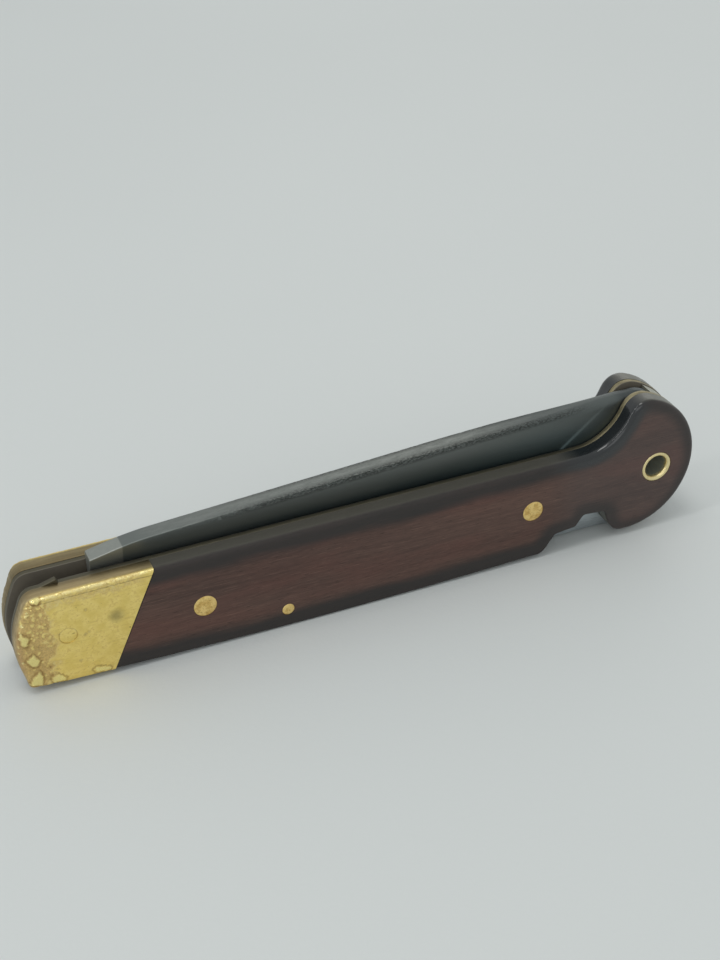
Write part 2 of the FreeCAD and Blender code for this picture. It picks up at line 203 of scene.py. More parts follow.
def plate(name, outline, holes, front, back, front_round, back_round, grid, wall_rows=2,
          past=math.inf, extra=()):
    """Closed plate drawn in the side view, in millimetres.

    front and back give y from x and z.  front_round and back_round give the rounding of the
    outline's edge on each face, from rows of (x, z).  Inner points lie on a grid, and are left
    out past an x that will be cut off.  extra holds more of them, where the faces turn sharply.
    The point attribute "rim" holds the distance to the outline.
    """
    loops = [(outline, front_round(outline), back_round(outline))]
    for hole in holes:
        small = np.full(len(hole), HOLE_ROUND)
        loops.append((hole[::-1] if loop_area(hole) > 0 else hole, small, small))
    tree = kdtree.KDTree(sum(len(loop) for loop, _, _ in loops))
    for index, (x, z) in enumerate(np.concatenate([loop for loop, _, _ in loops])):
        tree.insert((x, z, 0), index)
    tree.balance()
    rounds = np.concatenate([np.maximum(a, b) for _, a, b in loops])

    points = []
    depths = []
    near = []
    constraints = []
    starts = []
    offset = 0
    for loop, _, _ in loops:
        starts.append(len(points))
        count = len(loop)
        constraints += [(starts[-1] + i, starts[-1] + (i + 1) % count) for i in range(count)]
        points += [tuple(row) for row in loop]
        depths += [0.0] * count
        near += list(range(offset, offset + count))
        offset += count
    offset = 0
    for loop, a, b in loops:
        normals = inward(loop)
        for row in range(1, ROUND_ROWS + 1):
            share = 1 - math.cos(math.pi / 2 * row / ROUND_ROWS)
            away = np.maximum(a, b) * share
            for i, (place, depth) in enumerate(zip(loop + normals * away[:, None], away)):
                found = tree.find((place[0], place[1], 0))[2]
                if depth > 0.02 and found > 0.93 * depth:
                    points.append(tuple(place))
                    depths.append(depth)
                    near.append(offset + i)
        offset += len(loop)
    low = outline.min(axis=0)
    high = outline.max(axis=0)
    across, up = np.meshgrid(np.arange(low[0], high[0], grid), np.arange(low[1], high[1], grid * 0.87))
    across = across + (np.arange(across.shape[0]) % 2)[:, None] * grid / 2
    inner = np.stack([across.ravel(), up.ravel()], axis=1)
    inner = inner[inside(inner, outline) & (inner[:, 0] < past)]
    for x, z in inner:
        _, index, distance = tree.find((x, z, 0))
        if distance > rounds[index] + 0.4 * grid and distance > 0.4 * grid:
            points.append((x, z))
            depths.append(distance)
            near.append(index)

    for x, z in extra:
        _, index, distance = tree.find((x, z, 0))
        if distance > 0.3:
            points.append((x, z))
            depths.append(distance)
            near.append(index)

    flat, _, triangles, origins, _, _ = delaunay_2d_cdt(
        [Vector(point) for point in points], constraints, [], 1, 1e-6)
    source = [item[0] for item in origins]
    spots = np.array([(v.x, v.y) for v in flat])
    triangles = np.array(triangles)
    middles = spots[triangles].mean(axis=1)
    keep = np.ones(len(triangles), bool)
    for hole in holes:
        keep &= ~inside(middles, hole)
    triangles = triangles[keep]

    depth = np.array(depths)[source]
    nearest = np.array(near)[source]
    front_radius = np.concatenate([a for _, a, _ in loops])[nearest]
    back_radius = np.concatenate([b for _, _, b in loops])[nearest]
    front_y = front(spots[:, 0], spots[:, 1])
    back_y = back(spots[:, 0], spots[:, 1])
    sense = np.sign(front_y - back_y)
    front_y = front_y - sense * round_drop(depth, front_radius)
    back_y = back_y + sense * round_drop(depth, back_radius)

    total = len(spots)
    places = [(x, y, z) for (x, z), y in zip(spots, front_y)]
    places += [(x, y, z) for (x, z), y in zip(spots, back_y)]
    faces = [tuple(t) for t in triangles] + [tuple(t + total)[::-1] for t in triangles]
    where = {index: number for number, index in enumerate(source)}
    for (loop, _, _), start in zip(loops, starts):
        ring = [where[start + i] for i in range(len(loop))]
        levels = [ring]
        for row in range(1, wall_rows):
            share = row / wall_rows
            level = []
            for index in ring:
                y = front_y[index] * (1 - share) + back_y[index] * share
                level.append(len(places))
                places.append((spots[index][0], y, spots[index][1]))
            levels.append(level)
        levels.append([index + total for index in ring])
        for upper, lower in zip(levels, levels[1:]):
            for i in range(len(ring)):
                j = (i + 1) % len(ring)
                faces.append((upper[i], upper[j], lower[j], lower[i]))
    mesh = bpy.data.meshes.new(name)
    mesh.from_pydata([Vector(place) * MM for place in places], [], faces)
    outer = kdtree.KDTree(len(outline))
    for index, (x, z) in enumerate(outline):
        outer.insert((x, z, 0), index)
    outer.balance()
    rim = mesh.attributes.new("rim", "FLOAT", "POINT")
    values = [outer.find((x, z, 0))[2] for x, _, z in places]
    rim.data.foreach_set("value", np.array(values, np.float32))
    return finished(name, mesh)


def round_drop(depth, radius):
    """How far a rounded edge falls below its face, at a distance in from the edge."""
    short = np.clip(radius - depth, 0, radius)
    return radius - np.sqrt(np.maximum(radius ** 2 - short ** 2, 0))


def finished(name, mesh):
    """Object for a mesh, with faces outwards and smooth between its sharp edges."""
    work = bmesh.new()
    work.from_mesh(mesh)
    bmesh.ops.recalc_face_normals(work, faces=work.faces)
    work.to_mesh(mesh)
    work.free()
    mesh.shade_smooth()
    mesh.set_sharp_from_angle(angle=CREASE)
    piece = bpy.data.objects.new(name, mesh)
    bpy.context.scene.collection.objects.link(piece)
    return piece


def cut_off(piece, point, normal):
    """Cut away what lies past a plane, and close the cut."""
    work = bmesh.new()
    work.from_mesh(piece.data)
    everything = work.verts[:] + work.edges[:] + work.faces[:]
    cut = bmesh.ops.bisect_plane(
        work, geom=everything, plane_co=Vector(point) * MM, plane_no=normal, clear_outer=True, dist=1e-7)
    rims = [item for item in cut["geom_cut"] if isinstance(item, bmesh.types.BMEdge)]
    bmesh.ops.contextual_create(work, geom=rims)
    bmesh.ops.triangulate(work, faces=[face for face in work.faces if len(face.verts) > 4])
    bmesh.ops.recalc_face_normals(work, faces=work.faces)
    work.to_mesh(piece.data)
    work.free()
    piece.data.shade_smooth()
    piece.data.set_sharp_from_angle(angle=CREASE)


def displace(piece, shift):
    """Move each vertex along its normal by shift(place, rim), in millimetres."""
    mesh = piece.data
    rim = mesh.attributes["rim"].data
    moves = [shift(v.co / MM, rim[v.index].value) for v in mesh.vertices]
    normals = [v.normal.copy() for v in mesh.vertices]
    for vertex, move, normal in zip(mesh.vertices, moves, normals):
        vertex.co += normal * (move * MM)


def smoothstep(low, high, value):
    """0 below low, 1 above high, smooth between."""
    share = np.clip((value - low) / (high - low), 0, 1)
    return share * share * (3 - 2 * share)


# ---------------------------------------------------------------- nodes and their arithmetic

class Wire:
    """Output of a node that Python's arithmetic works on."""

    def __init__(self, bench, socket):
        self.bench = bench
        self.socket = socket

    def math(self, operation, *values):
        """Math node on two values."""
        return self.bench.node("ShaderNodeMath", {"operation": operation}, dict(enumerate(values)))

    def __add__(self, other):
        return self.math("ADD", self, other)

    def __radd__(self, other):
        return self.math("ADD", other, self)

    def __sub__(self, other):
        return self.math("SUBTRACT", self, other)

    def __rsub__(self, other):
        return self.math("SUBTRACT", other, self)

    def __mul__(self, other):
        return self.math("MULTIPLY", self, other)

    def __rmul__(self, other):
        return self.math("MULTIPLY", other, self)

    def __truediv__(self, other):
        return self.math("DIVIDE", self, other)

    def __rtruediv__(self, other):
        return self.math("DIVIDE", other, self)

    def __abs__(self):
        return self.math("ABSOLUTE", self)

    def __pow__(self, other):
        return self.math("POWER", self, other)

    def __rpow__(self, other):
        return self.math("POWER", other, self)

    def step(self, low, high):
        """0 at low, 1 at high, smooth between; low may be the higher number."""
        settings = {"interpolation_type": "SMOOTHSTEP"}
        flip = low > high
        inputs = {0: self, 1: min(low, high), 2: max(low, high), 3: float(flip), 4: float(not flip)}
        return self.bench.node("ShaderNodeMapRange", settings, inputs)


class Bench:
    """Node tree, with one method that lays any node in it."""

    def __init__(self, tree):
        self.tree = tree

    def node(self, kind, settings=None, inputs=None, out=0):
        """Any node: its settings, then the values or links of its sockets."""
        made = self.tree.nodes.new(kind)
        for key, value in (settings or {}).items():
            setattr(made, key, value)
        for key, value in (inputs or {}).items():
            if isinstance(value, Wire):
                self.tree.links.new(value.socket, made.inputs[key])
            else:
                made.inputs[key].default_value = value
        return Wire(self, made.outputs[out])


class Paint(Bench):
    """One procedural material, read in millimetres of the part's frame."""

    def __init__(self, name):
        self.material = bpy.data.materials.new(name)
        self.material.use_nodes = True
        super().__init__(self.material.node_tree)
        self.tree.nodes.clear()
        self.shader = self.tree.nodes.new("ShaderNodeBsdfPrincipled")
        output = self.tree.nodes.new("ShaderNodeOutputMaterial")
        self.tree.links.new(self.shader.outputs[0], output.inputs[0])
        self.place = self.node("ShaderNodeVectorMath", {"operation": "SCALE"}, {
            0: self.node("ShaderNodeTexCoord", out="Object"), "Scale": 1 / MM})

    def axis(self, letter):
        """One coordinate in millimetres."""
        return self.node("ShaderNodeSeparateXYZ", None, {0: self.place}, letter.upper())

    def stretched(self, x, y, z):
        """Coordinates times a number on each axis."""
        return self.node("ShaderNodeVectorMath", {"operation": "MULTIPLY"}, {0: self.place, 1: (x, y, z)})

    def away_from(self, spot):
        """Distance to a spot in millimetres."""
        spots = {0: self.place, 1: spot}
        return self.node("ShaderNodeVectorMath", {"operation": "DISTANCE"}, spots, "Value")

    def noise(self, vector, detail=3.0, roughness=0.5, distortion=0.0, offset=0.0):
        """Noise of about 0 to 1, one cell to one unit of the vector."""
        inputs = {"Vector": vector, "W": offset, "Scale": 1.0, "Detail": detail, "Roughness": roughness,
                  "Distortion": distortion}
        return self.node("ShaderNodeTexNoise", {"noise_dimensions": "4D"}, inputs)

    def mix(self, first, second, share):
        """Colour between two colours."""
        values = [(*value, 1) if isinstance(value, tuple) else value for value in (first, second)]
        return self.node("ShaderNodeMix", {"data_type": "RGBA"}, {0: share, 6: values[0], 7: values[1]}, 2)

    def value(self, name):
        """Value of a point attribute of the piece."""
        return self.node("ShaderNodeAttribute", {"attribute_name": name}, None, "Fac")

    def finish(self, colour, roughness, height=None, depth=0.02, **plain):
        """Link what varies, set what doesn't, and bump by height times depth in millimetres."""
        for name, value in {"Base_Color": colour, "Roughness": roughness, **plain}.items():
            socket = self.shader.inputs[name.replace("_", " ")]
            if isinstance(value, Wire):
                self.tree.links.new(value.socket, socket)
            else:
                socket.default_value = value
        if height is not None:
            bump = self.node("ShaderNodeBump", None, {
                "Strength": 1.0, "Distance": depth * MM, "Height": height})
            self.tree.links.new(bump.socket, self.shader.inputs["Normal"])
        return self.material


# ---------------------------------------------------------------- finishes

def rosewood():
    """Dark red-brown wood with lengthwise grain, lacquered, painted nearly black along its rounded edges and
    in the sweep as dark reflection, with a painted grey sheen on the head.
    """
    paint = Paint("rosewood")
    x, y, z = paint.axis("x"), abs(paint.axis("y")), paint.axis("z")
    bands = paint.noise(paint.stretched(0.018, 0.5, 0.33), 4.0, 0.55, 0.6)
    streaks = paint.noise(paint.stretched(0.05, 1.6, 1.9), 5.0, 0.6, 0.3, 3.0)
    fibres = paint.noise(paint.stretched(0.35, 7.0, 8.5), 5.0, 0.65, 0.0, 7.0)
    pores = paint.noise(paint.stretched(0.7, 8.0, 10.0), 2.0, 0.5, 0.0, 11.0).step(0.58, 0.72)
    grain = (bands * 0.40 + streaks * 0.25 + fibres * 0.35).step(0.30, 0.70)
    heart = paint.mix((0.052, 0.030, 0.025), (0.128, 0.073, 0.057), grain)
    red = paint.noise(paint.stretched(0.04, 0.2, 0.16), 2.0, 0.5, 0.0, 5.0).step(0.45, 0.7)
    heart = paint.mix(heart, (0.135, 0.056, 0.044), red * 0.45)
    heart = paint.mix(heart, (0.020, 0.012, 0.010), pores * 0.6)
    wander = paint.noise(paint.stretched(0.07, 0.3, 0.3), 3.0, 0.5, 0.0, 13.0) - 0.5
    head = x.step(from_pivot(-24.0), from_pivot(-15.0))
    rim = paint.value("rim") + wander * (2.8 - head * 1.2)
    edge = (rim + head * 0.9).step(4.4, 1.9)
    sweep = head * rim.step(3.4, 1.5) * x.step(from_pivot(-1.5), from_pivot(-5.5)) * z.step(14.0, 17.0)
    heart = paint.mix(heart, (0.25, 0.15, 0.11), fibres.step(0.54, 0.74) * 0.45)
    # Painted sheen: the head's wood is blended towards grey.
    heart = paint.mix(heart, (0.070, 0.062, 0.062), head * 0.32)
    # Painted dark reflection: the rounded edges are darkened nearly to black, a little less at the head.
    colour = paint.mix(heart, (0.026, 0.027, 0.0265), edge * (1 - head * 0.15) * 0.85)
    # Painted dark reflection: the glossy sweep's rounding is painted nearly black.
    colour = paint.mix(colour, (0.006, 0.008, 0.010), sweep * 0.95)
    seam_offset = from_pivot(SEAM_TOP[0]) * SEAM_ALONG - SEAM_TOP[1] * SEAM_UP
    seam_gap = abs(z * SEAM_UP - x * SEAM_ALONG + seam_offset).step(0.35, 0.05)
    colour = paint.mix(colour, (0.008, 0.005, 0.004), seam_gap * 0.9)
    narrow_face = y.step(OUTSIDE - 0.4, OUTSIDE - 1.0)
    worn = paint.mix((0.088, 0.084, 0.068), (0.20, 0.197, 0.165), head)
    colour = paint.mix(colour, worn, narrow_face * (1 - sweep) * (0.4 + fibres * 0.6))
    rough = 0.46 + fibres * 0.18 + pores * 0.12 - head * 0.10 - sweep * 0.16
    height = fibres * 0.5 - pores * 0.9 + streaks * 0.3
    return paint.finish(colour, rough, height, 0.022, Coat_Weight=0.12 + sweep * 0.85 + head * 0.1,
                        Coat_Roughness=0.07, Specular_IOR_Level=0.22)


def bolster_brass():
    """Golden brass: mottled dressed faces, a tarnished rough end with smooth islands, narrow faces with
    painted light and shade, and a painted highlight along the edge between them.
    """
    paint = Paint("bolster_brass")
    x, y, z = paint.axis("x"), paint.axis("y"), paint.axis("z")
    mottle = paint.noise(paint.stretched(0.5, 0.5, 0.5), 5.0, 0.62)
    fine = paint.noise(paint.stretched(2.6, 2.6, 2.6), 4.0, 0.6, 0.0, 2.0)
    grains = paint.noise(paint.stretched(3.2, 3.2, 3.2), 5.0, 0.7, 0.0, 4.0)
    scratches = paint.noise(paint.stretched(0.35, 3.0, 5.0), 3.0, 0.5, 0.0, 6.0)
    pitted = paint.value("pitted")
    island = paint.value("island")
    crevice = (grains * 0.7 + fine * 0.3).step(0.62, 0.36)

    # The dressed face, then the rough skin with its clumps of grain, its grooves and its smooth islands.
    gold = paint.mix((0.86, 0.66, 0.20), (0.98, 0.78, 0.28), mottle.step(0.35, 0.65))
    worn = paint.mix(gold, (0.66, 0.45, 0.13), (fine * 0.6 + mottle * 0.4).step(0.50, 0.66) * 0.6)
    worn = paint.mix(worn, (0.62, 0.43, 0.13), scratches.step(0.55, 0.72) * 0.4)
    speck = paint.noise(paint.stretched(1.3, 1.3, 1.3), 2.0, 0.5, 0.0, 12.0).step(0.68, 0.76)
    worn = paint.mix(worn, (0.40, 0.29, 0.08), speck * 0.7)
    stained = crevice * 0.6 + mottle.step(0.42, 0.66) * 0.35
    tarnish = paint.mix((0.84, 0.63, 0.28), (0.48, 0.33, 0.14), stained)
    colour = paint.mix(worn, tarnish, pitted * 0.95)
    colour = paint.mix(colour, (0.98, 0.80, 0.32), paint.value("clump") * 0.8)
    colour = paint.mix(colour, (0.30, 0.17, 0.05), paint.value("groove") * 0.6)
    colour = paint.mix(colour, (1.0, 0.87, 0.36), island * 0.9)
    rear_end = x.step(from_pivot(-117.2), from_pivot(-118.6))
    colour = paint.mix(colour, (0.52, 0.33, 0.18), rear_end * (1 - island) * 0.7)

    # The fine circle round the rivet, the lapped line under the top edge and the dark smudge.
    rivet = centre("bolster_rivet")
    level_with_rivet = paint.node("ShaderNodeCombineXYZ", None, {0: x - rivet.x, 2: z - rivet.z})
    from_rivet = paint.node("ShaderNodeVectorMath", {"operation": "LENGTH"}, {0: level_with_rivet}, "Value")
    seat = abs(from_rivet - reach("bolster_rivet").x / 2).step(0.16, 0.04)
    colour = paint.mix(colour, (0.50, 0.36, 0.12), seat * 0.5)
    lap_rise = (x - from_pivot(LAP_START[0])) * LAP_SLOPE
    lap = abs(z + (mottle - 0.5) * 0.25 - LAP_START[1] - lap_rise).step(0.16, 0.03)
    colour = paint.mix(colour, (0.36, 0.24, 0.08), lap * (0.25 + fine * 0.7))
    smudge = paint.away_from((from_pivot(SMUDGE[0]), -OUTSIDE, SMUDGE[1]))
    colour = paint.mix(colour, (0.26, 0.21, 0.09), (smudge + mottle * 1.5 - 0.75).step(1.9, 0.2) * 0.6)

    # The narrow faces: painted lighter on the near bolster and painted shade on the far one, with bright
    # lumps on the far one, and painted shade darkening them inwards towards the slot.
    streak = paint.noise(paint.stretched(0.12, 1.2, 0.8), 4.0, 0.6, 0.0, 9.0).step(0.35, 0.7)
    near_edge = paint.mix((0.42, 0.32, 0.17), (0.60, 0.47, 0.26), streak)
    far_narrow_shade = paint.mix((0.27, 0.215, 0.12), (0.40, 0.32, 0.175), streak)
    narrow = paint.mix(near_edge, far_narrow_shade, y.step(0.0, 1.0))
    for lump_x, lump_y, lump_z in LUMPS:
        away = paint.away_from((from_pivot(lump_x), lump_y, lump_z))
        narrow = paint.mix(narrow, (1.0, 0.85, 0.36), (away + (fine - 0.5) * 0.5).step(0.5, 0.3) * 0.8)
    # Painted shade towards the slot.
    narrow = paint.mix(narrow, (0.20, 0.155, 0.085), abs(y).step(4.7, 3.1) * 0.75)
    side = abs(y).step(OUTSIDE - 1.15, OUTSIDE - 0.45)
    colour = paint.mix(narrow, colour, side)

    # Painted highlight along the edge between them, where the metal is also rubbed bare and smoother.
    corner = abs(y).step(OUTSIDE - 0.62, OUTSIDE - 0.42) * abs(y).step(OUTSIDE - 0.06, OUTSIDE - 0.24)
    rubbed_edge_highlight = corner * (mottle * 0.5 + fine * 0.5).step(0.62, 0.46) * pitted.step(0.8, 0.58)
    colour = paint.mix(colour, (1.0, 0.86, 0.42), rubbed_edge_highlight * 0.8)
    rough = 0.42 + (fine - 0.5) * 0.3 + pitted * 0.15 - island * 0.14 - rubbed_edge_highlight * 0.16
    height = fine * 0.3 + scratches * 0.25 + pitted * side * (1 - crevice) * 1.5
    return paint.finish(colour, rough, height, 0.05, Metallic=1.0)


def liner_brass():
    """Filed brass edge, dull olive along the grip and bright at the head."""
    paint = Paint("liner_brass")
    x, y, z = paint.axis("x"), abs(paint.axis("y")), paint.axis("z")
    strokes = paint.noise(paint.stretched(0.5, 3.0, 0.6), 4.0, 0.6)
    blotch = paint.noise(paint.stretched(0.22, 0.6, 0.3), 4.0, 0.6, 0.0, 3.0)
    bright = (x.step(from_pivot(-16.0), from_pivot(-8.0)) * z.step(18.0, 20.0) * 0.55
              + blotch.step(0.5, 0.72) * (0.06 + x.step(from_pivot(-22.0), from_pivot(-15.0)) * 0.25))
    colour = paint.mix((0.12, 0.108, 0.076), (0.60, 0.51, 0.30), bright * (strokes * 2.2 - 0.35))
    wall = y.step(SLOT_SIDE + 0.15, SLOT_SIDE + 0.03)
    colour = paint.mix(colour, paint.mix((0.095, 0.085, 0.068), (0.20, 0.17, 0.13), blotch), wall)
    return paint.finish(colour, 0.4 + strokes * 0.22, strokes, 0.03, Metallic=0.9 - wall * 0.8)


def pin_brass():
    """Brass heads ground flush: a bright rim round a speckled middle."""
    paint = Paint("pin_brass")
    specks = paint.noise(paint.stretched(4.0, 4.0, 4.0), 3.0, 0.65)
    mottle = paint.noise(paint.stretched(1.1, 1.1, 1.1), 3.0, 0.5, 0.0, 3.0)
    middle = paint.value("rim").step(0.15, 0.7)
    gold = paint.mix((0.95, 0.70, 0.28), (0.72, 0.47, 0.15), mottle.step(0.4, 0.65))
    colour = paint.mix(gold, (0.26, 0.14, 0.05), specks.step(0.55, 0.68) * middle * 0.75)
    return paint.finish(colour, 0.3 + specks * 0.22, specks, 0.02, Metallic=1.0)


def tube_brass():
    """Polished mouth of the pivot tube, dark and tarnished down its bore."""
    paint = Paint("tube_brass")
    y = abs(paint.axis("y"))
    wear = paint.noise(paint.stretched(2.2, 2.2, 2.2), 4.0, 0.6)
    mouth = (y + (wear - 0.5) * 1.6).step(OUTSIDE - 1.1, OUTSIDE - 0.4)
    colour = paint.mix((0.23, 0.24, 0.20), (0.88, 0.74, 0.40), mouth)
    colour = paint.mix(colour, (0.42, 0.27, 0.09), wear.step(0.55, 0.7) * 0.5)
    return paint.finish(colour, 0.26 + wear * 0.2, wear, 0.015, Metallic=0.35 + mouth * 0.65)


def blade_steel():
    """Dark ground steel with a scaly forged spine, with a painted teal reflection darkening its side towards
    the edge and painted shade towards the head and in the recess behind the spur.
    """
    paint = Paint("blade_steel")
    x, y, z = paint.axis("x"), paint.axis("y"), paint.axis("z")
    bend_x, bend_z = SPINE[1]
    fall = z - (x - from_pivot(bend_x)) * SPINE_SLOPE - bend_z
    spine = fall.step(-0.4, 0.0)
    scale = paint.noise(paint.stretched(0.35, 1.6, 1.2), 5.0, 0.65)
    pits = paint.noise(paint.stretched(2.0, 4.5, 4.5), 4.0, 0.65, 0.0, 4.0)
    cloud = paint.noise(paint.stretched(0.06, 0.3, 0.2), 3.0, 0.5, 0.0, 8.0)
    lines = paint.noise(paint.stretched(0.2, 2.0, 6.0), 3.0, 0.5, 0.0, 5.0)
    tip = x.step(from_pivot(-98.6), from_pivot(-98.9))
    middle = x.step(from_pivot(-90.0), from_pivot(-70.0)) * x.step(from_pivot(-9.0), from_pivot(-18.0))
    near_edge = (abs(y) + (scale - 0.5) * 1.6).step(0.35, 1.5) * fall.step(-1.5, -0.7) * middle
    # Painted reflection: the ground side darkens to teal towards the edge.
    low = (fall + cloud * 2.0).step(-1.0, -7.0)
    flat = paint.mix((0.185, 0.200, 0.190), (0.088, 0.126, 0.130), low)
    flat = paint.mix(flat, (0.21, 0.22, 0.215), lines.step(0.55, 0.75) * 0.35 + cloud.step(0.5, 0.7) * 0.2)
    scaly = paint.mix((0.20, 0.21, 0.195), (0.31, 0.32, 0.30), (scale * 0.6 + pits * 0.4).step(0.38, 0.62))
    colour = paint.mix(flat, scaly, spine)
    # Painted shade where the blade runs deeper between the liners towards the head, darker on the spine.
    head_shade = x.step(from_pivot(-42.0), from_pivot(-14.0))
    colour = paint.mix(colour, (0.048, 0.060, 0.062), head_shade * (0.45 + spine * 0.3))
    colour = paint.mix(colour, (0.040, 0.040, 0.038), near_edge * pits.step(0.40, 0.58) * 0.7)
    colour = paint.mix(colour, (0.36, 0.37, 0.34), tip * (0.55 + lines * 0.5))
    # Painted shade in the shallow recess behind the spur.
    recess = x.step(from_pivot(-7.5), from_pivot(-5.0)) * z.step(23.0, 25.0)
    colour = paint.mix(colour, (0.085, 0.095, 0.095), recess)
    spur = x.step(from_pivot(-0.1), from_pivot(0.25)) * z.step(23.0, 25.0)
    colour = paint.mix(colour, (0.42, 0.41, 0.34), spur * (0.5 + pits))
    rough = 0.42 + spine * 0.12 + near_edge * 0.2 + (pits - 0.5) * 0.2
    height = lines * 0.15 + (near_edge + spine * 0.15) * (scale + pits)
    return paint.finish(colour, rough, height, 0.06, Metallic=0.85)


def bar_steel():
    """Satin grey steel of the lock bar."""
    paint = Paint("bar_steel")
    strokes = paint.noise(paint.stretched(0.3, 3.0, 4.0), 4.0, 0.6)
    colour = paint.mix((0.42, 0.46, 0.48), (0.58, 0.62, 0.64), strokes.step(0.35, 0.7))
    return paint.finish(colour, 0.28 + strokes * 0.2, strokes, 0.02, Metallic=0.9)


def spring_steel():
    """Blued strip of the lock spring."""
    paint = Paint("spring_steel")
    heat = paint.noise(paint.stretched(0.2, 0.8, 0.8), 3.0, 0.5)
    colour = paint.mix((0.05, 0.07, 0.13), (0.16, 0.14, 0.13), heat.step(0.35, 0.7))
    return paint.finish(colour, 0.3 + heat * 0.2, heat, 0.01, Metallic=0.9)


def washer_bronze():
    """Rolled bronze shim, rubbed in rings by the tang."""
    paint = Paint("washer_bronze")
    rubbed = paint.noise(paint.stretched(1.5, 1.5, 1.5), 4.0, 0.6)
    colour = paint.mix((0.42, 0.22, 0.10), (0.66, 0.42, 0.22), rubbed)
    return paint.finish(colour, 0.3 + rubbed * 0.25, rubbed, 0.01, Metallic=1.0)


def studio_floor():
    """Pale matt surface."""
    paint = Paint("studio_floor")
    tooth = paint.noise(paint.stretched(1.2, 1.2, 1.2), 3.0, 0.5)
    drift = paint.noise(paint.stretched(0.006, 0.006, 0.006), 2.0, 0.5, 0.0, 2.0)
    colour = paint.mix((0.64, 0.66, 0.652), (0.68, 0.70, 0.692), drift)
    return paint.finish(colour, 0.6, tooth, 0.03)


# ---------------------------------------------------------------- the handle

def wood_round(rows):
    """Rounding of a scale's outer edge along its outline."""
    x = rows[:, 0] - PIVOT.x
    z = rows[:, 1]
    blend = smoothstep(SWEEP_START - 4, SWEEP_END, x)
    radius = LONG_ROUND * (1 - blend) + HEAD_ROUND * blend
    radius = np.where((z < 2.0) & (x < NOTCH_SPAN[0]), FOOT_ROUND, radius)
    in_notch = (x > NOTCH_SPAN[0]) & (x < NOTCH_SPAN[1]) & (z < NOTCH_HIGH)
    radius = np.where(in_notch, NOTCH_ROUND, radius)
    return sum(np.roll(radius, shift) for shift in range(-4, 5)) / 9


def even(amount):
    """Rounding that is the same all along an outline."""
    return lambda rows: np.full(len(rows), amount)


def level(y):
    """Flat face at y."""
    return lambda x, z: np.full(len(x), y)


def seam_plane():
    """Point and normal of the seam, the normal towards the head."""
    run = Vector((SEAM_TOP[0] - SEAM_FOOT[0], 0, SEAM_TOP[1] - SEAM_FOOT[1]))
    point = (from_pivot(SEAM_FOOT[0]), 0, SEAM_FOOT[1])
    return point, Vector((run.z, 0, -run.x)).normalized()


def soften(loop, corner, setback):
    """The loop with one corner, given from the pivot axis, eased into a curve."""
    place = np.array((from_pivot(corner[0]), corner[1]))
    nearest = int(np.argmin(np.linalg.norm(loop - place, axis=1)))
    loop = np.roll(loop, -nearest, axis=0)
    travel = np.concatenate([[0], np.cumsum(np.linalg.norm(np.diff(loop, axis=0), axis=1))])
    total = travel[-1] + np.linalg.norm(loop[-1] - loop[0])
    first = int(np.searchsorted(travel, setback))
    last = int(np.searchsorted(travel, total - setback)) - 1
    share = np.linspace(0, 1, 13)[:, None]
    curve = (1 - share) ** 2 * loop[last] + 2 * share * (1 - share) * place + share ** 2 * loop[first]
    return np.concatenate([loop[first + 1:last], curve])


def handle_outline():
    """Outline of the handle from the CAD liner, its corners worn as the maker's file left them."""
    loop = resample(side_outline("left_liner", -LINER_FACE), 0.1)
    for corner, setback in WORN_CORNERS:
        loop = soften(loop, corner, setback)
    return loop


OUTLINE = handle_outline()


def pin_hole(name, play=0.0):
    """Round hole for a named pin."""
    middle = centre(name)
    return circle_loop(middle.x, middle.z, reach(name).x / 2 + play, HOLE_STEP)


def wood_scale(name, side):
    """Wood scale of one side, rounded, with a little life in its surface."""
    outline = resample(OUTLINE, 0.4)
    holes = [pin_hole(pin) for pin in ("pivot_tube", "front_pin", "rear_pin", "lock_pin")]
    piece = plate(name, outline, holes, level(side * (OUTSIDE - 0.02)), level(side * LINER_FACE),
                  wood_round, even(0.03), 0.55, 3)
    point, normal = seam_plane()
    cut_off(piece, point, -normal)

    def life(place, rim):
        wave = noise.noise(Vector((place.x * 0.05, side * 3, place.z * 0.12))) * 0.05
        grain = noise.noise(Vector((place.x * 0.4, side * 5, place.z * 3.0))) * 0.012
        return min(wave + grain - 0.02, 0.0) * smoothstep(0.0, 0.5, abs(place.y) - LINER_FACE)

    displace(piece, life)
    return piece


# ---------------------------------------------------------------- the bolsters

# Rounding of the top edge, of the rear edge and of the foot.
CRISP_ROUND = 0.6
REAR_ROUND = 1.25
HEEL_ROUND = 0.35

# Front of the rough skin, the heights over which its strip under the top edge begins, the depths of skin and
# dents, and where the bolster's inner points end, past the seam.
ROUGH_FRONT = [(-113.3, 1.0), (-112.9, 5.0), (-112.4, 10.5), (-112.9, 15.0), (-113.8, 19.0)]
TOP_STRIP = (16.3, 16.9)
SKIN_DEPTH = 0.18
DENT_DEPTH = 0.14
GRID_END = -92.0

# Lapped line under the top edge, dark smudge, and bright lumps (along, across, up) at the far rear corner.
LAP_START = (-108.0, 17.75)
LAP_SLOPE = 0.012
SMUDGE = (-102.0, 11.7)
LUMPS = [(-117.2, 4.3, 17.9), (-116.5, 3.7, 18.4), (-117.6, 5.1, 16.8)]

